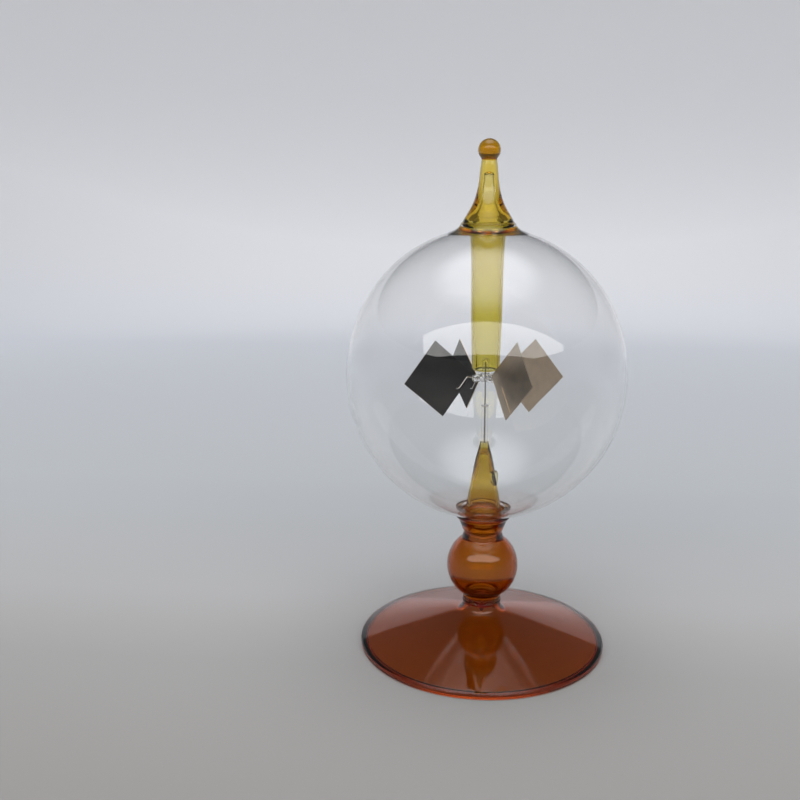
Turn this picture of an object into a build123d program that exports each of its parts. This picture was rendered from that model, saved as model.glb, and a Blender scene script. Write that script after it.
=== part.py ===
from build123d import *
from math import cos, radians, sin, sqrt, tan
import os

# A light-mill: four vanes turn on a needle in a clear glass bulb, on an amber glass stand.
# Millimetres. The origin is the centre of the foot's underside, +Z is up.
# +X is the viewer's right and +Y points away from the viewer.

# Foot: a thin trumpet of amber glass, open underneath
foot_radius = 41.3
foot_wall = 1.7
foot_slope = 16.0
lip_height = 2.0
lip_width = 2.6
lip_edge_radius = 0.7
throat_flare = 3.4

# Stem: neck, hollow knop and waist
neck_radius = 6.25
stem_wall = 1.7
pump_seal_height = 1.2
pump_tip_radius = 1.5
pump_tip_length = 4.6
neck_height = 0.95
neck_swell = 0.12
knop_radius = 11.95
knop_wall = 1.4
knop_root = 0.95
knop_fillet = 1.6
waist_radius = 6.7
waist_rise = 2.2
waist_swell = 0.45
waist_bead = 0.7

# Collar: the flared seat of the bulb
collar_rise = 4.2
collar_radius = 9.0
collar_wall = 1.9
collar_turn_out = 0.96
collar_turn_share = 0.6
seal_height = 1.3
seal_swell = 0.35

# Bulb: thin clear glass, a little taller than wide
bulb_radius = 45.25
bulb_half_height = 47.22
bulb_wall = 1.0
bulb_foot_inner = 7.5
bulb_sink = 0.15
bulb_edge_share = 0.88
bulb_shoulder_radius = 8.7
bulb_shoulder_rise = 1.7
bulb_flare_radius = 14.0
bulb_flare_turn = 0.5

# Spindle cone: hollow amber cone with the pump hole
cone_radius = 6.1
cone_height = 24.3
cone_wall = 1.1
cone_mid_radius = 4.3
cone_mid_share = 0.42
cone_high_radius = 2.45
cone_high_share = 0.83
cone_tip_radius = 1.35
cone_crown = 1.5
cone_arch_drop = 2.2
socket_depth = 2.3
pump_hole_width = 2.6
pump_hole_height = 4.8
pump_hole_rise = 12.0
pump_hole_side = -22.0
pump_lip = 0.5
pump_lip_reach = 4.3

# Needle and the clear capillary that holds it
needle_radius = 0.22
needle_point = 1.0
needle_reach = 15.0
needle_root = 12.6
capillary_radius = 1.05
capillary_reach = 12.5
flange_radius = 1.2
flange_height = 0.5
flange_round = 0.12
glass_fit = 0.02

# Rotor: pivot cup, hub bead with lugs, wires and vanes
cup_radius = 1.3
cup_wall = 0.55
cup_crown = 0.65
cup_play = 0.06
cup_skirt = 4.5
hub_radius = 2.35
hub_height = 2.6
hub_bore = 0.8
hub_edge_radius = 0.9
lug_radius = 1.25
lug_reach = 4.9
wire_radius = 0.16
wire_root = 3.0
wire_bend = 0.5
wire_inset = 1.1
wire_start = 2.2
wire_run = 4.5
hook_length = 1.0
vane_count = 4
vane_side = 17.2
vane_reach = 16.9
vane_thickness = 0.2
coat_thickness = 0.06
hem_width = 3.3
hem_start = 6.9
hem_thickness = 0.12
hub_yaw = 28.5

# Each vane was set by hand: the small errors of its turn, reach, height, roll and lean
vane_turns = (-0.3, -1.3, 0.8, 0.8)
vane_reaches = (0.56, -0.19, -0.07, -0.31)
vane_rises = (-0.91, -2.02, 1.08, 1.85)
vane_rolls = (-6.5, -0.7, -3.1, 2.4)
vane_leans = (3.3, 6.4, -7.0, 9.4)

# Retainer tube, hung over the pivot cup
tube_wall = 1.0
tube_overlap = 4.0
tube_radius_low = 4.5
tube_radius_mid = 5.0
tube_radius_high = 5.35
tube_flare = 6.2
tube_flare_height = 7.0
tube_end_radius = 0.9

# Finial: hollow cap with a solid ball
top_seal_height = 0.55
top_seal_swell = 0.2
skirt_radius = 8.2
finial_height = 18.95
finial_low_radius = 5.45
finial_low_bore = 2.3
finial_low_share = 0.25
finial_mid_radius = 3.6
finial_mid_bore = 1.6
finial_mid_share = 0.52
finial_high_radius = 2.95
finial_high_share = 0.75
finial_tip_radius = 2.4
finial_throat_bore = 3.8
finial_throat_rise = 1.6
finial_cavity = 15.5
finial_arch_drop = 2.2
finial_arch_bore = 1.3
ball_radius = 3.5
ball_stub = 1.2
ball_fillet = 0.7

# Heights that follow from the sizes above
throat_centre = neck_radius + throat_flare
throat_foot = throat_centre - throat_flare * sin(radians(foot_slope))
foot_top = (
    lip_height
    + (foot_radius - throat_foot) * tan(radians(foot_slope))
    + throat_flare * cos(radians(foot_slope))
)
neck_base = foot_top + pump_seal_height
neck_top = neck_base + neck_height
knop_low_crook = neck_top + knop_root
knop_centre = knop_low_crook + sqrt(knop_radius**2 - neck_radius**2)
knop_high_crook = knop_centre + sqrt(knop_radius**2 - waist_radius**2)
knop_top = knop_high_crook + knop_root
waist_top = knop_top + waist_rise
collar_top = waist_top + collar_rise
bulb_seat = collar_top + seal_height
bulb_centre = bulb_seat - bulb_sink + bulb_half_height
cone_top = bulb_seat + cone_height
socket_floor = cone_top - socket_depth
capillary_top = cone_top + capillary_reach
needle_tip = capillary_top + needle_reach
cup_top = needle_tip + cup_play + cup_crown
cup_base = needle_tip - cup_skirt
hub_level = cup_base - hub_height / 2
tube_base = cup_top - tube_overlap


def bulb_height_at(radius):
    """Height of the bulb's outer surface above its centre, at a radius."""
    return bulb_half_height * sqrt(1 - (radius / bulb_radius) ** 2)


def bulb_fall_at(radius):
    """How steeply the bulb's upper half falls outwards, at a radius."""
    share = radius / bulb_radius
    return bulb_half_height / bulb_radius * share / sqrt(1 - share**2)


tube_top = bulb_centre + bulb_height_at(bulb_shoulder_radius) + bulb_shoulder_rise
finial_base = tube_top + top_seal_height
finial_top = finial_base + finial_height
ball_centre = finial_top + sqrt(ball_radius**2 - finial_tip_radius**2) + ball_stub / 2


def turned(*edges):
    """Solid of revolution about Z, from the edges of a closed outline in X and Z."""
    outline = Plane.XZ * make_face(Curve() + list(edges))
    return revolve(outline, Axis.Z)


def turned_face(face):
    """Solid of revolution about Z, from a flat face drawn in X and Z."""
    return revolve(Plane.XZ * face, Axis.Z)


def block(inner, outer, low, high):
    """Rectangle between two radii and two heights."""
    return Pos(inner, low) * Rectangle(outer - inner, high - low, align=(Align.MIN, Align.MIN))


def rounded(face, radius, *points):
    """The face with a round of one radius at the corners nearest the points."""
    corners = [face.vertices().sort_by_distance(Vector(*point))[0] for point in points]
    return fillet(corners, radius)


def make_foot():
    """Trumpet of even wall on a thickened, ground lip."""
    slope = radians(foot_slope)
    centre = Vector(throat_centre, foot_top)
    outward = Vector(sin(slope), cos(slope))
    outer_start = centre - outward * throat_flare
    inner_start = centre - outward * (throat_flare + foot_wall)
    lip_inner = foot_radius - lip_width
    inner_end = Vector(lip_inner, inner_start.Y - (lip_inner - inner_start.X) * tan(slope))
    outer_edge = Vector(foot_radius, lip_height)
    face = make_face(
        Curve()
        + [
            Line(outer_edge, outer_start),
            RadiusArc(outer_start, (neck_radius, foot_top), throat_flare),
            Line((neck_radius, foot_top), (neck_radius - foot_wall, foot_top)),
            RadiusArc((neck_radius - foot_wall, foot_top), inner_start, -(throat_flare + foot_wall)),
            Line(inner_start, inner_end),
            Line(inner_end, (lip_inner, 0)),
            Line((lip_inner, 0), (foot_radius, 0)),
            Line((foot_radius, 0), outer_edge),
        ]
    )
    face = rounded(face, lip_edge_radius, (foot_radius, 0), (foot_radius, lip_height))
    face = rounded(face, lip_edge_radius / 2, (lip_inner, 0))
    return turned_face(face)


def make_pump_seal():
    """Closed floor of the stem with the drawn-off pump tip under it."""
    half = pump_seal_height / 2
    rim = neck_radius + half / 2
    tip_end = foot_top - pump_tip_length
    return turned(
        Line((0, neck_base), (neck_radius, neck_base)),
        ThreePointArc((neck_radius, neck_base), (rim, foot_top + half), (neck_radius, foot_top)),
        Line((neck_radius, foot_top), (2 * pump_tip_radius, foot_top)),
        Spline(
            (2 * pump_tip_radius, foot_top),
            (pump_tip_radius, foot_top - pump_tip_radius / 2),
            (0, tip_end),
            tangents=((-1, 0), (-1, -1)),
        ),
        Line((0, tip_end), (0, neck_base)),
    )


def make_lower_neck():
    """Short tube with a slightly swollen middle."""
    bore = neck_radius - stem_wall
    middle = (neck_base + neck_top) / 2
    swell = neck_radius + neck_swell
    return turned(
        ThreePointArc((neck_radius, neck_base), (swell, middle), (neck_radius, neck_top)),
        Line((neck_radius, neck_top), (bore, neck_top)),
        Line((bore, neck_top), (bore, neck_base)),
        Line((bore, neck_base), (neck_radius, neck_base)),
    )


def make_knop():
    """Hollow ball with rounded roots where it draws in to the necks."""
    right = block(0, 2 * knop_radius, neck_top, knop_top)
    outer = (Pos(0, knop_centre) * Circle(knop_radius)) & right
    outer += block(0, neck_radius, neck_top, knop_centre)
    outer += block(0, waist_radius, knop_centre, knop_top)
    outer = rounded(
        outer, knop_fillet, (neck_radius, knop_low_crook), (waist_radius, knop_high_crook)
    )
    hollow = (Pos(0, knop_centre) * Circle(knop_radius - knop_wall)) & right
    hollow += block(0, neck_radius - stem_wall, neck_top, knop_centre)
    hollow += block(0, waist_radius - stem_wall, knop_centre, knop_top)
    return turned_face(outer - hollow)


def make_waist():
    """Thick neck over the knop, pinched in the middle outside, with a weld bead inside."""
    bore = waist_radius - stem_wall
    middle = (knop_top + waist_top) / 2
    return turned(
        ThreePointArc(
            (waist_radius, knop_top),
            (waist_radius - waist_swell / 2, middle - waist_rise / 8),
            (waist_radius + waist_swell / 2, waist_top),
        ),
        Line((waist_radius + waist_swell / 2, waist_top), (bore, waist_top)),
        ThreePointArc((bore, waist_top), (bore - waist_bead, middle), (bore, knop_top)),
        Line((bore, knop_top), (waist_radius, knop_top)),
    )


def make_collar():
    """Bell-mouthed seat that opens to the bulb."""
    foot_outer = waist_radius + waist_swell / 2
    foot_inner = waist_radius - stem_wall
    mouth = collar_radius - collar_wall
    return turned(
        Spline(
            (foot_outer, waist_top),
            (foot_outer + collar_turn_out, waist_top + collar_rise * collar_turn_share),
            (collar_radius, collar_top),
            tangents=((0.25, 1), (1, 0.55)),
        ),
        Line((collar_radius, collar_top), (mouth, collar_top)),
        Spline(
            (mouth, collar_top),
            (foot_inner, waist_top),
            tangents=((-0.6, -1), (-0.1, -1)),
        ),
        Line((foot_inner, waist_top), (foot_outer, waist_top)),
    )


def make_bulb_seal():
    """Weld ring under the bulb and the cone."""
    inner = cone_radius - cone_wall
    middle = collar_top + seal_height / 2
    swell = collar_radius + seal_swell
    return turned(
        ThreePointArc((collar_radius, collar_top), (swell, middle), (collar_radius, bulb_seat)),
        Line((collar_radius, bulb_seat), (inner, bulb_seat)),
        ThreePointArc((inner, bulb_seat), (inner + seal_swell, middle), (inner, collar_top)),
        Line((inner, collar_top), (collar_radius, collar_top)),
    )


def make_bulb():
    """Blown bulb, drawn down to the collar and flared up to the shoulder under the finial."""
    shell = Pos(0, bulb_centre) * Ellipse(bulb_radius, bulb_half_height)
    shell -= Pos(0, bulb_centre) * Ellipse(bulb_radius - bulb_wall, bulb_half_height - bulb_wall)
    lower = block(bulb_foot_inner, 2 * bulb_radius, bulb_seat, bulb_centre)
    mouth = tube_flare + glass_fit
    upper = block(mouth, 2 * bulb_radius, bulb_centre, tube_top)
    root_corner = bulb_centre - bulb_height_at(collar_radius)
    root = block(bulb_foot_inner, collar_radius, bulb_seat, root_corner + bulb_wall / 2)
    flare_end = Vector(bulb_flare_radius, bulb_centre + bulb_height_at(bulb_flare_radius))
    half_wall = Vector(0, bulb_wall / 2)
    mouth_edge = Vector(mouth, bulb_centre + bulb_height_at(mouth)) - half_wall
    flare_fall = bulb_fall_at(bulb_flare_radius)
    shoulder = make_face(
        Curve()
        + [
            Line((mouth, tube_top), (bulb_shoulder_radius, tube_top)),
            Spline(
                (bulb_shoulder_radius, tube_top),
                flare_end,
                tangents=((bulb_flare_turn, -1), (1, -flare_fall)),
            ),
            Line(flare_end, flare_end - half_wall),
            Line(flare_end - half_wall, mouth_edge),
            Line(mouth_edge, (mouth, tube_top)),
        ]
    )
    face = (shell & (lower + upper)) + root + shoulder
    edge_radius = bulb_edge_share * (root_corner - bulb_seat)
    face = rounded(face, edge_radius, (collar_radius, root_corner))
    return turned_face(face)


def make_spindle_cone():
    """Hollow cone with a thick crown, the capillary's socket and the lipped pump hole."""
    middle = bulb_seat + cone_height * cone_mid_share
    outer = Spline(
        (cone_radius, bulb_seat),
        (cone_mid_radius, middle),
        (cone_high_radius, bulb_seat + cone_height * cone_high_share),
        (cone_tip_radius, cone_top),
        tangents=((-0.12, 1), (-0.18, 1)),
    )
    inner_foot = cone_radius - cone_wall
    arch = socket_floor - cone_crown
    inner = Spline(
        (0, arch),
        (cone_high_radius - cone_wall, arch - cone_arch_drop),
        (cone_mid_radius - cone_wall, middle),
        (inner_foot, bulb_seat),
        tangents=((1, 0), (0.12, -1)),
    )
    bore = capillary_radius + glass_fit
    body = turned(
        outer,
        Line((cone_tip_radius, cone_top), (bore, cone_top)),
        Line((bore, cone_top), (bore, socket_floor)),
        Line((bore, socket_floor), (0, socket_floor)),
        Line((0, socket_floor), (0, bulb_seat)),
        Line((0, bulb_seat), (cone_radius, bulb_seat)),
    )
    cavity = turned(
        inner,
        Line((inner_foot, bulb_seat), (0, bulb_seat)),
        Line((0, bulb_seat), (0, arch)),
    )
    hole_plane = Plane(
        origin=(0, 0, bulb_seat + pump_hole_rise),
        z_dir=Vector(1, 0, 0).rotate(Axis.Z, pump_hole_side),
        x_dir=(0, 0, 1),
    )
    half_height = pump_hole_height / 2
    half_width = pump_hole_width / 2
    lip = extrude(hole_plane * Ellipse(half_height + pump_lip, half_width + pump_lip), pump_lip_reach)
    hole = extrude(hole_plane * Ellipse(half_height, half_width), 2 * cone_radius)
    return body + lip - cavity - hole


def make_needle_tube():
    """Clear capillary with the small flange at its top."""
    bore = needle_radius + glass_fit
    flange_low = capillary_top - flange_height
    profile = block(bore, capillary_radius, socket_floor, capillary_top)
    profile += block(bore, flange_radius, flange_low, capillary_top)
    profile = rounded(
        profile, flange_round, (flange_radius, capillary_top), (flange_radius, flange_low)
    )
    return turned_face(profile)


def make_needle():
    """Steel needle, point upwards."""
    root = capillary_top - needle_root
    return turned(
        Line((0, root), (needle_radius, root)),
        Line((needle_radius, root), (needle_radius, needle_tip - needle_point)),
        Line((needle_radius, needle_tip - needle_point), (0, needle_tip)),
        Line((0, needle_tip), (0, root)),
    )


def make_pivot_cup():
    """Small glass thimble with a domed end."""
    inner = cup_radius - cup_wall
    outer_spring = cup_top - cup_radius
    inner_top = cup_top - cup_crown
    inner_spring = inner_top - inner
    return turned(
        Line((cup_radius, cup_base), (cup_radius, outer_spring)),
        RadiusArc((cup_radius, outer_spring), (0, cup_top), -cup_radius),
        Line((0, cup_top), (0, inner_top)),
        RadiusArc((0, inner_top), (inner, inner_spring), inner),
        Line((inner, inner_spring), (inner, cup_base)),
        Line((inner, cup_base), (cup_radius, cup_base)),
    )


def vane_azimuth(index):
    """Direction of a vane seen from above, from +X towards +Y."""
    return hub_yaw + index * 360 / vane_count + vane_turns[index]


def vane_plane(index):
    """Plane of a vane: X along its inner lower edge, Y across it, Z out of its bright side."""
    turn = radians(vane_azimuth(index))
    lean = radians(vane_leans[index])
    radial = Vector(cos(turn), sin(turn), 0)
    bright = Vector(sin(turn) * cos(lean), -cos(turn) * cos(lean), sin(lean))
    centre = radial * (vane_reach + vane_reaches[index])
    centre += Vector(0, 0, hub_level + vane_rises[index])
    roll = radians(vane_rolls[index] - 45)
    along = radial * cos(roll) + bright.cross(radial) * sin(roll)
    return Plane(origin=centre, x_dir=along, z_dir=bright)


def wire_route(index):
    """Wire from its root in the lug, along the vane's dark side, to the end of its hook."""
    turn = radians(vane_azimuth(index))
    plane = vane_plane(index)
    edge = -vane_side / 2
    depth = -coat_thickness - wire_radius - glass_fit
    start = edge + wire_start
    end = start + wire_run
    hook = hook_length / sqrt(2)
    root = plane.to_local_coords(Vector(wire_root * cos(turn), wire_root * sin(turn), hub_level))
    points = [
        (root.X, root.Y, depth),
        (start, edge + wire_inset, depth),
        (end, edge + wire_inset, depth),
        (end + hook, edge + wire_inset + hook, depth),
    ]
    return [plane.from_local_coords(Vector(*point)) for point in points]


def make_arm(index):
    """Fine round wire with a hooked end."""
    path = FilletPolyline(*wire_route(index), radius=wire_bend)
    section = Plane(origin=path @ 0, z_dir=path % 0) * Circle(wire_radius)
    return sweep(section, path=path)


def make_vane(index):
    """Square foil on its corner, with the hem folded over on the bright side."""
    plane = vane_plane(index)
    sheet = extrude(plane * Rectangle(vane_side, vane_side), vane_thickness)
    edge = -vane_side / 2
    hem_length = vane_side - hem_start
    hem_centre = Pos(edge + hem_start + hem_length / 2, edge + hem_width / 2, vane_thickness)
    hem = extrude(plane * hem_centre * Rectangle(hem_length, hem_width), hem_thickness)
    return sheet + hem


def make_coat(index):
    """Black coat over the whole of a vane's dark side."""
    return extrude(vane_plane(index) * Rectangle(vane_side, vane_side), -coat_thickness)


def make_hub(wires):
    """Glass bead on the axis with a round-ended lug for each wire."""
    low = hub_level - hub_height / 2
    bead = block(hub_bore, hub_radius, low, cup_base)
    bead = rounded(bead, hub_edge_radius, (hub_radius, low), (hub_radius, cup_base))
    hub = turned_face(bead)
    shank = lug_reach - lug_radius
    for index in range(vane_count):
        spoke = Plane((0, 0, hub_level)) * Rot(0, 0, vane_azimuth(index)) * Rot(0, 90, 0)
        lug = spoke * Pos(0, 0, shank / 2) * Cylinder(lug_radius, shank)
        lug += spoke * Pos(0, 0, shank) * Sphere(lug_radius)
        hub += lug
    hub -= Pos(0, 0, hub_level) * Cylinder(hub_bore, 2 * hub_height)
    for wire in wires:
        hub -= wire
    return hub


def make_retainer_tube():
    """Tube that widens upwards, with a closed-in rounded mouth at its lower end."""
    flare_low = tube_top - tube_flare_height
    middle = (tube_base + flare_low) / 2
    outer = Spline(
        (tube_radius_low, tube_base),
        (tube_radius_mid, middle),
        (tube_radius_high, flare_low),
        (tube_flare, tube_top),
        tangents=((0.02, 1), (0.3, 1)),
    )
    inner = Spline(
        (tube_flare - tube_wall, tube_top),
        (tube_radius_high - tube_wall, flare_low),
        (tube_radius_mid - tube_wall, middle),
        (tube_radius_low - tube_wall, tube_base),
        tangents=((-0.3, -1), (-0.02, -1)),
    )
    face = make_face(
        Curve()
        + [
            outer,
            Line((tube_flare, tube_top), (tube_flare - tube_wall, tube_top)),
            inner,
            Line((tube_radius_low - tube_wall, tube_base), (tube_radius_low, tube_base)),
        ]
    )
    face = rounded(face, tube_end_radius, (tube_radius_low, tube_base))
    return turned_face(face)


def make_top_seal():
    """Weld ring that joins bulb, retainer tube and finial."""
    inner = tube_flare - tube_wall
    middle = tube_top + top_seal_height / 2
    rim = (bulb_shoulder_radius + skirt_radius) / 2 + top_seal_swell
    return turned(
        ThreePointArc((bulb_shoulder_radius, tube_top), (rim, middle), (skirt_radius, finial_base)),
        Line((skirt_radius, finial_base), (inner, finial_base)),
        Line((inner, finial_base), (inner, tube_top)),
        Line((inner, tube_top), (bulb_shoulder_radius, tube_top)),
    )


def make_finial():
    """Thick hollow cap with a concave outline, a narrow bore and a solid crown."""
    low = finial_base + finial_height * finial_low_share
    middle = finial_base + finial_height * finial_mid_share
    arch = finial_base + finial_cavity
    mouth = tube_flare - tube_wall
    return turned(
        Spline(
            (skirt_radius, finial_base),
            (finial_low_radius, low),
            (finial_mid_radius, middle),
            (finial_high_radius, finial_base + finial_height * finial_high_share),
            (finial_tip_radius, finial_top),
            tangents=((-0.5, 1), (-0.2, 1)),
        ),
        Line((finial_tip_radius, finial_top), (0, finial_top)),
        Line((0, finial_top), (0, arch)),
        Spline(
            (0, arch),
            (finial_arch_bore, arch - finial_arch_drop),
            (finial_mid_bore, middle),
            (finial_low_bore, low),
            (finial_throat_bore, finial_base + finial_throat_rise),
            (mouth, finial_base),
            tangents=((1, 0), (0.8, -1)),
        ),
        Line((mouth, finial_base), (skirt_radius, finial_base)),
    )


def make_finial_ball():
    """Solid ball on a short stub."""
    right = block(0, 2 * ball_radius, finial_top, ball_centre + ball_radius)
    face = (Pos(0, ball_centre) * Circle(ball_radius)) & right
    face += block(0, finial_tip_radius, finial_top, ball_centre)
    corner_height = ball_centre - sqrt(ball_radius**2 - finial_tip_radius**2)
    face = rounded(face, ball_fillet, (finial_tip_radius, corner_height))
    return turned_face(face)


def make_all():
    """Every node's solid, by name."""
    parts = {
        "foot": make_foot(),
        "pump_seal": make_pump_seal(),
        "lower_neck": make_lower_neck(),
        "knop": make_knop(),
        "waist": make_waist(),
        "collar": make_collar(),
        "bulb_seal": make_bulb_seal(),
        "bulb": make_bulb(),
        "spindle_cone": make_spindle_cone(),
        "needle_tube": make_needle_tube(),
        "needle": make_needle(),
        "pivot_cup": make_pivot_cup(),
        "retainer_tube": make_retainer_tube(),
        "top_seal": make_top_seal(),
        "finial": make_finial(),
        "finial_ball": make_finial_ball(),
    }
    wires = []
    for index in range(vane_count):
        number = index + 1
        arm = make_arm(index)
        wires.append(arm)
        parts[f"arm_{number}"] = arm
        parts[f"vane_{number}"] = make_vane(index)
        parts[f"vane_coat_{number}"] = make_coat(index)
    parts["hub"] = make_hub(wires)
    return parts


os.makedirs("parts", exist_ok=True)
for name, solid in make_all().items():
    export_step(solid, f"parts/{name}.step")
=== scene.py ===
import math

import bmesh
import bpy
from mathutils import Matrix, Vector


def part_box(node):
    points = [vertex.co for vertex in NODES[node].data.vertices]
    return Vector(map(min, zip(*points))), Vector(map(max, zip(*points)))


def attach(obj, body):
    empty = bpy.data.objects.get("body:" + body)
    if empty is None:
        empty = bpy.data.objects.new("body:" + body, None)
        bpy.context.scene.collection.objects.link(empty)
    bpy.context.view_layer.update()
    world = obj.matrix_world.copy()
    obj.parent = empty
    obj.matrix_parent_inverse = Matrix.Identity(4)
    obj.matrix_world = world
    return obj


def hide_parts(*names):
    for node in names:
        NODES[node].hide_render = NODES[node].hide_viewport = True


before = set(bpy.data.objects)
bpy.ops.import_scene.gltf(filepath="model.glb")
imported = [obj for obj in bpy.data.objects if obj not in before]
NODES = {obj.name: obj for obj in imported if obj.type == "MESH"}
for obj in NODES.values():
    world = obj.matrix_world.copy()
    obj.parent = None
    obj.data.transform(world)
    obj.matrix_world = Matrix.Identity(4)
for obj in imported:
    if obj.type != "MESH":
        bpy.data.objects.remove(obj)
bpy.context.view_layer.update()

# Lengths are in metres. The heights of a tint are in millimetres, and the loss in glass is per millimetre
MM = 0.001
SAME = 2e-6
HAIR = 1e-6
DIGITS = 7
LEVEL_DIGITS = 6
TURNS = 160


# Materials

def new_material(name):
    """An empty node material and its tree, with the output node."""
    material = bpy.data.materials.new(name)
    material.use_nodes = True
    tree = material.node_tree
    tree.nodes.clear()
    output = tree.nodes.new("ShaderNodeOutputMaterial")
    return material, tree, output


def add(tree, kind, **values):
    """A node with its properties and sockets set by name; an underscore stands for a space."""
    node = tree.nodes.new(kind)
    for key, value in values.items():
        if hasattr(node, key) and key not in node.inputs:
            setattr(node, key, value)
        else:
            node.inputs[key.replace("_", " ")].default_value = value
    return node


def place(tree):
    """Object coordinates in metres, in the shared frame."""
    return tree.nodes.new("ShaderNodeTexCoord").outputs["Object"]


def noise(tree, scale, detail=2.0, rough=0.5):
    """Cloudy pattern; a larger scale makes it finer."""
    node = add(tree, "ShaderNodeTexNoise", Scale=scale, Detail=detail, Roughness=rough)
    tree.links.new(place(tree), node.inputs["Vector"])
    return node.outputs["Fac"]


def bump(tree, height, strength, distance):
    """Normal of a surface that a pattern raises by up to a distance."""
    node = add(tree, "ShaderNodeBump", Strength=strength, Distance=distance)
    tree.links.new(height, node.inputs["Height"])
    return node.outputs["Normal"]


def ramp(tree, value, stops):
    """Colour ramp over a value; stops are (position, colour)."""
    node = tree.nodes.new("ShaderNodeValToRGB")
    elements = node.color_ramp.elements
    while len(elements) > 1:
        elements.remove(elements[-1])
    for index, (position, colour) in enumerate(stops):
        element = elements[0] if index == 0 else elements.new(position)
        element.position = position
        element.color = (*colour, 1)
    tree.links.new(value, node.inputs["Fac"])
    return node.outputs["Color"]


def stretch(tree, value, low, high, new_low=0.0, new_high=1.0, steps="LINEAR"):
    """A value between low and high, stretched to another span."""
    node = add(tree, "ShaderNodeMapRange", interpolation_type=steps)
    spans = {"From Min": low, "From Max": high, "To Min": new_low, "To Max": new_high}
    for socket, number in spans.items():
        node.inputs[socket].default_value = number
    tree.links.new(value, node.inputs["Value"])
    return node.outputs["Result"]


def split(tree, vector):
    """The X, Y and Z outputs of a vector."""
    node = tree.nodes.new("ShaderNodeSeparateXYZ")
    tree.links.new(vector, node.inputs[0])
    return node.outputs


GLASS_BENDS = 1.48
RIPPLE_SCALE = 120
RIPPLE_DEPTH = 0.4 * MM
WHITE = (1.0, 1.0, 1.0)


def glass(name, absorb=None, tint=None, wave=0.05):
    """Fire-polished glass with faint ripples.

    absorb is the loss per millimetre in red, green and blue, and tint is (low, high, stops),
    with heights in millimetres. Faces marked "weld" are where two glasses are melted together:
    no surface shows there, and light goes straight on.
    """
    material, tree, output = new_material(name)
    shader = add(tree, "ShaderNodeBsdfPrincipled", Roughness=0.0, IOR=GLASS_BENDS)
    shader.inputs["Transmission Weight"].default_value = 1.0
    shader.inputs["Base Color"].default_value = (*WHITE, 1)
    if tint:
        low, high, stops = tint
        share = stretch(tree, split(tree, place(tree))["Z"], low * MM, high * MM)
        tree.links.new(ramp(tree, share, stops), shader.inputs["Base Color"])
    ripples = noise(tree, RIPPLE_SCALE, 1.0)
    tree.links.new(bump(tree, ripples, wave, RIPPLE_DEPTH), shader.inputs["Normal"])
    clear = tree.nodes.new("ShaderNodeBsdfTransparent")
    marked = tree.nodes.new("ShaderNodeAttribute")
    marked.attribute_name = "weld"
    mix = tree.nodes.new("ShaderNodeMixShader")
    tree.links.new(marked.outputs["Fac"], mix.inputs[0])
    tree.links.new(shader.outputs[0], mix.inputs[1])
    tree.links.new(clear.outputs[0], mix.inputs[2])
    tree.links.new(mix.outputs[0], output.inputs["Surface"])
    if absorb:
        density = max(absorb) / MM
        volume = add(tree, "ShaderNodeVolumeAbsorption", Density=density)
        volume.inputs["Color"].default_value = (*[1 - a / MM / density for a in absorb], 1)
        tree.links.new(volume.outputs[0], output.inputs["Volume"])
    return material


def mark_welds(mesh, marks):
    """Writes the face attribute that the glass reads."""
    weld = mesh.attributes.new("weld", "FLOAT", "FACE")
    weld.data.foreach_set("value", [float(m) for m in marks])


foot_glass = glass("foot_amber", (0.10, 0.52, 1.3))
knop_glass = glass("knop_amber", (0.21, 0.66, 2.2))
stem_glass = glass("stem_amber", (0.15, 0.48, 1.5))
cone_tint = (47.0, 60.0, [(0.0, (0.93, 0.72, 0.50)), (1.0, WHITE)])
cone_glass = glass("cone_amber", (0.21, 0.36, 1.5), cone_tint)
tube_tint = (118.0, 141.0, [(0.0, WHITE), (1.0, (0.99, 0.93, 0.66))])
tube_glass = glass("tube_olive", (0.16, 0.25, 1.3), tube_tint)
cap_glass = glass("cap_olive", (0.03, 0.085, 0.42))
ball_glass = glass("ball_amber", (0.07, 0.19, 0.95))
clear_glass = glass("clear_glass", wave=0.02)


# Turned glass: each piece is turned from the outline of its CAD node, read along the node's seam

def near(a, b):
    """Two lengths that are the same, to rounding."""
    return abs(a - b) < SAME


SEAM_SLACK = 2e-7
TINY = 1e-7


def seam_chains(node):
    """Lines of (radius, height) along the seam of a turned node, each with the glass on its left."""
    mesh = NODES[node].data
    key = {}
    for vertex in mesh.vertices:
        if abs(vertex.co.y) < SEAM_SLACK and vertex.co.x > -TINY:
            key[vertex.index] = (
                round(max(vertex.co.x, 0), DIGITS),
                round(vertex.co.z, DIGITS),
            )
    links, facing = {}, {}
    for polygon in mesh.polygons:
        ring = list(polygon.vertices)
        for a, b in zip(ring, ring[1:] + ring[:1]):
            if a in key and b in key and key[a] != key[b] and not near(key[a][1], key[b][1]):
                links.setdefault(key[a], set()).add(key[b])
                links.setdefault(key[b], set()).add(key[a])
                facing[frozenset((key[a], key[b]))] = polygon.normal.copy()
    chains, used = [], set()
    ends = [k for k in links if len(links[k]) == 1]
    for end in sorted(ends, key=lambda k: (k[1], k[0])):
        if end in used:
            continue
        chain = [end]
        used.add(end)
        while True:
            ahead = [k for k in links[chain[-1]] if k not in used]
            if not ahead:
                break
            chain.append(ahead[0])
            used.add(ahead[0])
        turn = 0.0
        for a, b in zip(chain, chain[1:]):
            out = facing[frozenset((a, b))]
            turn += (b[1] - a[1]) * out.x - (b[0] - a[0]) * out.z
        chains.append(chain if turn > 0 else chain[::-1])
    return chains


FLAT = 0.9


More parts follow.
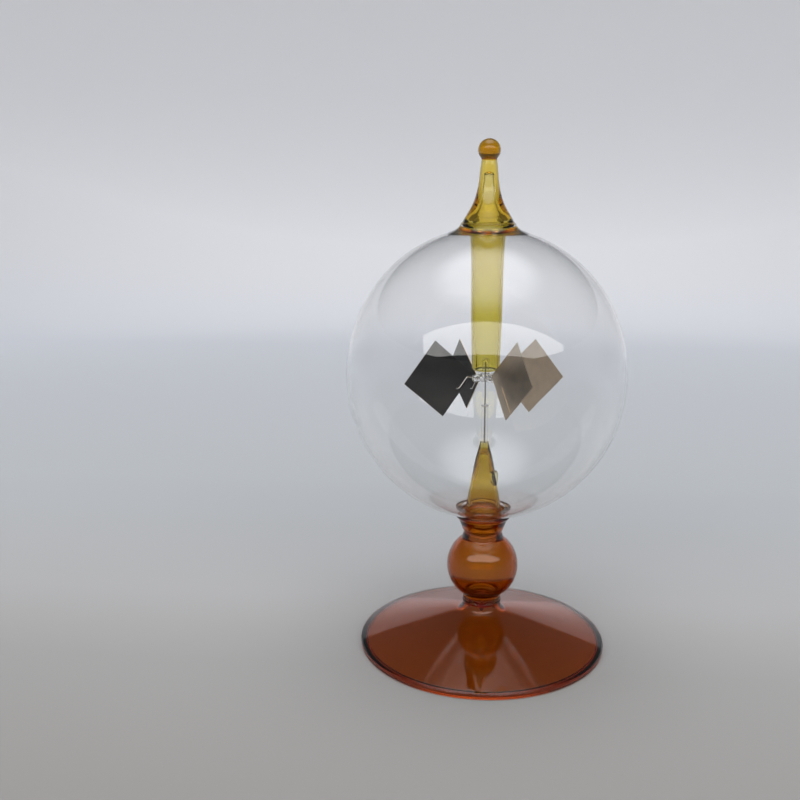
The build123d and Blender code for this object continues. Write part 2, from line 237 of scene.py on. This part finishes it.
def flat_rings(node, chains):
    """Flat rings (height, inner, outer, up) that close the chains of a node."""
    levels = {}
    for chain in chains:
        for end in (chain[0], chain[-1]):
            if end[0] > HAIR:
                levels.setdefault(round(end[1], LEVEL_DIGITS), set()).add(end[0])
    rings = []
    for level, radii in levels.items():
        radii = sorted(radii)
        if len(radii) % 2:
            radii = [0.0] + radii
        for inner, outer in zip(radii[::2], radii[1::2]):
            up = 0.0
            for polygon in NODES[node].data.polygons:
                if near(polygon.center.z, level) and abs(polygon.normal.z) > FLAT:
                    if inner < math.hypot(polygon.center.x, polygon.center.y) < outer:
                        up += polygon.normal.z
            rings.append((level, inner, outer, up > 0))
    return rings


TURNED = [
    "foot", "pump_seal", "lower_neck", "knop", "waist", "collar", "bulb_seal", "bulb",
    "needle_tube", "retainer_tube", "top_seal", "finial", "finial_ball",
]
CHAINS = {node: seam_chains(node) for node in TURNED}
RINGS = {node: flat_rings(node, CHAINS[node]) for node in TURNED}

# The cone isn't turned, because of its pump hole; its rings are those of its foot and its socket
SOCKET_RADIUS = 1.2 * MM
cone_low, cone_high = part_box("spindle_cone")
cone_mesh = NODES["spindle_cone"].data
cone_foot = [vertex.co for vertex in cone_mesh.vertices if near(vertex.co.z, cone_low.z)]
cone_radii = [math.hypot(co.x, co.y) for co in cone_foot]
socket_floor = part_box("needle_tube")[0].z
RINGS["spindle_cone"] = [
    (round(cone_low.z, LEVEL_DIGITS), min(cone_radii), max(cone_radii), False),
    (round(socket_floor, LEVEL_DIGITS), 0.0, SOCKET_RADIUS, True),
]


def welds_of(node, ring):
    """Radius spans of a flat ring where another node's ring faces it."""
    level, inner, outer, up = ring
    spans = []
    for other, rings in RINGS.items():
        if other == node:
            continue
        for other_level, other_inner, other_outer, other_up in rings:
            if near(level, other_level) and up != other_up:
                low, high = max(inner, other_inner), min(outer, other_outer)
                if high - low > HAIR:
                    spans.append((low, high))
    return spans


SHARP_BEND = 0.3
STRAIGHT_BEND = 0.002
LONGEST_SHIFT = 0.1
NEAR_WEIGHT, FAR_WEIGHT = 0.5625, 0.0625


def refined(chain):
    """The chain with each step of a curve halved on a smooth curve; straight steps and corners stay."""
    if len(chain) < 4:
        return chain
    points = [Vector(p) for p in chain]
    out = [chain[0]]
    for i in range(len(points) - 1):
        start, end = points[i], points[i + 1]
        step = end - start
        if 0 < i < len(points) - 2:
            before, after = start - points[i - 1], points[i + 2] - end
            if min(before.length, after.length) > TINY:
                bend = max(step.angle(before), step.angle(after))
                middle = (start + end) * NEAR_WEIGHT - (points[i - 1] + points[i + 2]) * FAR_WEIGHT
                shift = (middle - (start + end) / 2).length
                if STRAIGHT_BEND < bend < SHARP_BEND and shift < LONGEST_SHIFT * step.length:
                    out.append(tuple(middle))
        out.append(tuple(end))
    return out


def ring_of(bm, radius, height, count):
    """Vertices of a level ring about the axis, or the one vertex on the axis."""
    if radius < HAIR:
        return [bm.verts.new((0, 0, height))]
    angles = [2 * math.pi * k / count for k in range(count)]
    return [bm.verts.new((radius * math.cos(a), radius * math.sin(a), height)) for a in angles]


def cut_at(start, end, heights):
    """The step from start to end, with points added at the heights that it crosses."""
    low, high = sorted((start[1], end[1]))
    crossed = [h for h in heights if low + HAIR < h < high - HAIR]
    stops = [start]
    for height in sorted(crossed, reverse=end[1] < start[1]):
        share = (height - start[1]) / (end[1] - start[1])
        stops.append((start[0] + (end[0] - start[0]) * share, height))
    return stops + [end]


JOINED = 5e-7
SOFT_ANGLE = math.radians(28)


def turned_glass(node, material, heights=(), melted=None):
    """Turns a node's outline into a piece, and marks the faces where it is melted to another piece.

    Those are the flat faces that another node's face meets, and the others for which melted says so
    by radius and height. heights are the levels at which a step is cut for that.
    """
    bm = bmesh.new()
    fans = {}

    def ring_at(radius, height):
        key = (round(radius, DIGITS), round(height, DIGITS))
        if key not in fans:
            fans[key] = ring_of(bm, radius, height, TURNS)
        return fans[key]

    def strip(a, b, welded):
        """Faces between two rings; going from a to b the glass is on the left.
        Until the mesh is made, the mark is kept as the face's material index."""
        first, second = ring_at(*a), ring_at(*b)
        for k in range(TURNS):
            j = (k + 1) % TURNS
            if len(first) == 1:
                corners = (first[0], second[j], second[k])
            elif len(second) == 1:
                corners = (first[k], first[j], second[0])
            else:
                corners = (first[k], first[j], second[j], second[k])
            face = bm.faces.new(corners)
            face.material_index = int(welded)
            face.smooth = True

    for chain in CHAINS[node]:
        chain = refined(chain)
        for a, b in zip(chain, chain[1:]):
            stops = cut_at(a, b, heights)
            for c, d in zip(stops, stops[1:]):
                strip(c, d, bool(melted) and melted((c[0] + d[0]) / 2, (c[1] + d[1]) / 2))
    for ring in RINGS[node]:
        level, inner, outer, up = ring
        height = round(level, DIGITS)
        spans = welds_of(node, ring)
        radii = sorted({inner, outer, *[radius for span in spans for radius in span]})
        for low, high in zip(radii, radii[1:]):
            if high - low < SAME:
                continue
            welded = any(a < (low + high) / 2 < b for a, b in spans)
            ends = ((high, height), (low, height)) if up else ((low, height), (high, height))
            strip(*ends, welded)
    bmesh.ops.remove_doubles(bm, verts=bm.verts, dist=JOINED)
    mesh = bpy.data.meshes.new(node + "_glass")
    bm.to_mesh(mesh)
    bm.free()
    mark_welds(mesh, [polygon.material_index for polygon in mesh.polygons])
    for polygon in mesh.polygons:
        polygon.material_index = 0
    mesh.materials.append(material)
    mesh.set_sharp_from_angle(angle=SOFT_ANGLE)
    piece = bpy.data.objects.new(node + "_glass", mesh)
    bpy.context.scene.collection.objects.link(piece)
    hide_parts(node)
    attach(piece, "stand")


# The retainer tube is melted into the bulb's mouth, and the capillary into the cone's socket
TUBE_SKIN = 0.6 * MM
MOUTH_SLACK = 5e-6
bulb_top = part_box("bulb")[1].z
bulb_mouth = min(r for chain in CHAINS["bulb"] for r, h in chain if near(h, bulb_top))
mouth_from = min(h for chain in CHAINS["bulb"] for r, h in chain if near(r, bulb_mouth))


def in_mouth(radius, height):
    """On the tube's outside, within the bulb's mouth."""
    return height > mouth_from and radius > bulb_mouth - TUBE_SKIN


def on_mouth(radius, height):
    """On the wall of the bulb's mouth."""
    return height > mouth_from and abs(radius - bulb_mouth) < MOUTH_SLACK


def in_socket(radius, height):
    """On the capillary's outside, within the cone."""
    return height < cone_high.z and radius > TUBE_SKIN


for name in ["foot", "pump_seal"]:
    turned_glass(name, foot_glass)
turned_glass("knop", knop_glass)
for name in ["lower_neck", "waist", "collar", "bulb_seal"]:
    turned_glass(name, stem_glass)
for name in ["top_seal", "finial"]:
    turned_glass(name, cap_glass)
turned_glass("finial_ball", ball_glass)
turned_glass("retainer_tube", tube_glass, [mouth_from], in_mouth)
turned_glass("bulb", clear_glass, melted=on_mouth)
turned_glass("needle_tube", clear_glass, [cone_high.z], in_socket)


def dress(node, material):
    """Gives a carried CAD node its material."""
    mesh = NODES[node].data
    mesh.materials.clear()
    mesh.materials.append(material)


def mark_cone():
    """Marks the cone's foot and the walls of its socket as melted."""
    marks = []
    for polygon in cone_mesh.polygons:
        corners = [cone_mesh.vertices[i].co for i in polygon.vertices]
        at_foot = all(near(co.z, cone_low.z) for co in corners)
        at_socket = all(
            co.z > socket_floor - SAME and math.hypot(co.x, co.y) < SOCKET_RADIUS for co in corners
        )
        marks.append(at_foot or at_socket)
    mark_welds(cone_mesh, marks)


dress("spindle_cone", cone_glass)
mark_cone()


# Metal and coated foil

DARK_SHARE = 0.85
ROUGH_SPREAD = 0.2
GRAIN_DEPTH = 0.05 * MM


def metal(name, colour, roughness, grain=900.0, depth=0.1):
    """Drawn or rolled metal with a fine cloudy grain."""
    material, tree, output = new_material(name)
    shader = add(tree, "ShaderNodeBsdfPrincipled", Metallic=1.0)
    patches = noise(tree, grain, 3.0)
    dark = [c * DARK_SHARE for c in colour]
    tree.links.new(ramp(tree, patches, [(0.3, dark), (0.7, colour)]), shader.inputs["Base Color"])
    spread = roughness * ROUGH_SPREAD
    rough = stretch(tree, patches, 0.0, 1.0, roughness - spread, roughness + spread)
    tree.links.new(rough, shader.inputs["Roughness"])
    tree.links.new(bump(tree, patches, depth, GRAIN_DEPTH), shader.inputs["Normal"])
    tree.links.new(shader.outputs[0], output.inputs["Surface"])
    return material


SOOT_DEPTH = 0.04 * MM


def black_coat(name):
    """Dull soot-like coat with a fine grain."""
    material, tree, output = new_material(name)
    shader = add(tree, "ShaderNodeBsdfPrincipled", Roughness=0.7)
    shader.inputs["Specular IOR Level"].default_value = 0.25
    patches = noise(tree, 300, 4.0, 0.6)
    soot = [(0.3, (0.011, 0.011, 0.011)), (0.75, (0.022, 0.021, 0.020))]
    tree.links.new(ramp(tree, patches, soot), shader.inputs["Base Color"])
    tree.links.new(bump(tree, noise(tree, 2500, 3.0), 0.3, SOOT_DEPTH), shader.inputs["Normal"])
    tree.links.new(shader.outputs[0], output.inputs["Surface"])
    return material


needle_steel = metal("needle_steel", (0.30, 0.29, 0.29), 0.35)
wire_metal = metal("wire_metal", (0.78, 0.77, 0.75), 0.22)
foil_metal = metal("foil_metal", (0.72, 0.58, 0.43), 0.36, 260.0, 0.6)
coat = black_coat("black_coat")

dress("needle", needle_steel)
for number in range(1, 5):
    dress(f"arm_{number}", wire_metal)
    dress(f"vane_{number}", foil_metal)
    dress(f"vane_coat_{number}", coat)
dress("hub", clear_glass)
dress("pivot_cup", clear_glass)


# Studio: a pale sweep behind, greyer walls at the sides and in front, a wide window and a dim room

SWEEP_RADIUS = 0.95
SWEEP_CURVE = 0.25
WALL_TOP = 0.41
SWEEP_COUNT = 96
CURVE_STEPS = 16


def make_sweep():
    """Floor that curves up to a low wall all round."""
    flat = SWEEP_RADIUS - SWEEP_CURVE
    profile = [(0.0, 0.0), (0.15, 0.0), (0.4, 0.0), (flat, 0.0)]
    for k in range(1, CURVE_STEPS + 1):
        angle = math.pi / 2 * k / CURVE_STEPS
        profile.append((flat + SWEEP_CURVE * math.sin(angle), SWEEP_CURVE * (1 - math.cos(angle))))
    profile.append((SWEEP_RADIUS, WALL_TOP))
    bm = bmesh.new()
    rings = [ring_of(bm, radius, height, SWEEP_COUNT) for radius, height in profile]
    for first, second in zip(rings, rings[1:]):
        for k in range(SWEEP_COUNT):
            j = (k + 1) % SWEEP_COUNT
            if len(first) == 1:
                bm.faces.new((first[0], second[k], second[j]))
            else:
                bm.faces.new((first[k], second[k], second[j], first[j]))
    for face in bm.faces:
        face.smooth = True
    mesh = bpy.data.meshes.new("sweep")
    bm.to_mesh(mesh)
    bm.free()
    sweep = bpy.data.objects.new("sweep", mesh)
    bpy.context.scene.collection.objects.link(sweep)
    return sweep


# Paper colours with painted shade: darker at the front where less light reaches, lighter and cooler
# towards the back and up the wall
PAPER_WITH_PAINTED_FALLOFF = [
    (0.0, (0.34, 0.325, 0.315)),
    (0.07, (0.41, 0.40, 0.395)),
    (0.11, (0.50, 0.495, 0.50)),
    (0.21, (0.56, 0.58, 0.605)),
    (0.5, (0.64, 0.655, 0.70)),
    (0.75, (0.92, 0.92, 0.95)),
]
FALLOFF_FROM, FALLOFF_TO = -0.12, 1.28
SIDE_WALL = (0.45, 0.45, 0.455)
PALE_FROM, GREY_FROM = 0.62, 0.30
WALL_BLEND = 0.12


def backdrop_material():
    """Pale paper with painted shade: darker towards the front and lighter and cooler towards the back,
    standing in for the fall-off of light, with greyer walls at the sides and in front.
    """
    material, tree, output = new_material("pale_paper_painted_falloff")
    shader = add(tree, "ShaderNodeBsdfPrincipled", Roughness=0.9)
    axes = split(tree, place(tree))
    rise = add(tree, "ShaderNodeMath", operation="ADD")
    tree.links.new(axes["Y"], rise.inputs[0])
    tree.links.new(axes["Z"], rise.inputs[1])
    # Painted fall-off of light: the paper darkens towards the front and pales towards the back and top
    colour = ramp(tree, stretch(tree, rise.outputs[0], FALLOFF_FROM, FALLOFF_TO), PAPER_WITH_PAINTED_FALLOFF)
    grey = add(tree, "ShaderNodeMath", operation="MULTIPLY")
    tree.links.new(stretch(tree, axes["Y"], PALE_FROM, GREY_FROM), grey.inputs[0])
    tree.links.new(stretch(tree, axes["Z"], 0.0, WALL_BLEND), grey.inputs[1])
    mix = tree.nodes.new("ShaderNodeMix")
    mix.data_type = "RGBA"
    factor, pale, wall = mix.inputs[0], mix.inputs[6], mix.inputs[7]
    tree.links.new(grey.outputs[0], factor)
    tree.links.new(colour, pale)
    wall.default_value = (*SIDE_WALL, 1)
    tree.links.new(mix.outputs[2], shader.inputs["Base Color"])
    tree.links.new(shader.outputs[0], output.inputs["Surface"])
    return material


def window_light(width, depth, colour, radiance, centre, tilt):
    """A rectangular lamp that shines down, tilted about X; radiance is how bright its face is."""
    light = bpy.data.lights.new("window", "AREA")
    light.shape = "RECTANGLE"
    light.size = width
    light.size_y = depth
    light.color = colour
    light.energy = radiance * math.pi * width * depth
    lamp = bpy.data.objects.new("window", light)
    turn = Matrix.Rotation(math.radians(tilt), 4, "X")
    lamp.matrix_world = Matrix.Translation(centre) @ turn
    bpy.context.scene.collection.objects.link(lamp)


ROOM_COLOUR = (0.95, 0.975, 1.0)
ROOM_DIM, ROOM_TOP = 0.14, 2.6
ROOM_RISE = 0.78


def room_world():
    """A dim room, with soft light from overhead."""
    world = bpy.data.worlds.new("room")
    bpy.context.scene.world = world
    world.use_nodes = True
    tree = world.node_tree
    background = tree.nodes["Background"]
    upwards = split(tree, tree.nodes.new("ShaderNodeTexCoord").outputs["Generated"])["Z"]
    strength = stretch(tree, upwards, ROOM_RISE, 1.0, ROOM_DIM, ROOM_TOP, "SMOOTHSTEP")
    tree.links.new(strength, background.inputs["Strength"])
    background.inputs["Color"].default_value = (*ROOM_COLOUR, 1)


make_sweep().data.materials.append(backdrop_material())
window_light(3.2, 0.466, (1.0, 0.99, 0.97), 2.6, (0.35, -0.887, 0.727), 54.7)
room_world()


# Camera: the photo's, fitted as a pinhole

CAMERA_PLACE = (0, -0.32196, 0.15960)
YAW, PITCH, ROLL = math.radians(-4.953), math.radians(13.104), math.radians(-0.109)
FOCAL_PIXELS = 1007.97
PICTURE_PIXELS = 800
SENSOR = 36.0


def make_camera():
    """Camera turned by yaw about Z, then down by pitch, then rolled."""
    level = Vector((math.sin(YAW), math.cos(YAW), 0)) * math.cos(PITCH)
    forward = level - Vector((0, 0, math.sin(PITCH)))
    right = forward.cross(Vector((0, 0, 1))).normalized()
    up = right.cross(forward)
    side = right * math.cos(ROLL) + up * math.sin(ROLL)
    top = up * math.cos(ROLL) - right * math.sin(ROLL)
    data = bpy.data.cameras.new("camera")
    data.sensor_width = SENSOR
    data.lens = FOCAL_PIXELS / PICTURE_PIXELS * SENSOR
    data.clip_start = 0.01
    camera = bpy.data.objects.new("camera", data)
    turn = Matrix((side, top, -forward)).transposed().to_4x4()
    camera.matrix_world = Matrix.Translation(CAMERA_PLACE) @ turn
    bpy.context.scene.collection.objects.link(camera)
    return camera


scene = bpy.context.scene
scene.camera = make_camera()
scene.view_settings.view_transform = "Standard"
scene.cycles.max_bounces = 32
scene.cycles.transmission_bounces = 32
scene.cycles.glossy_bounces = 12
scene.cycles.transparent_max_bounces = 32
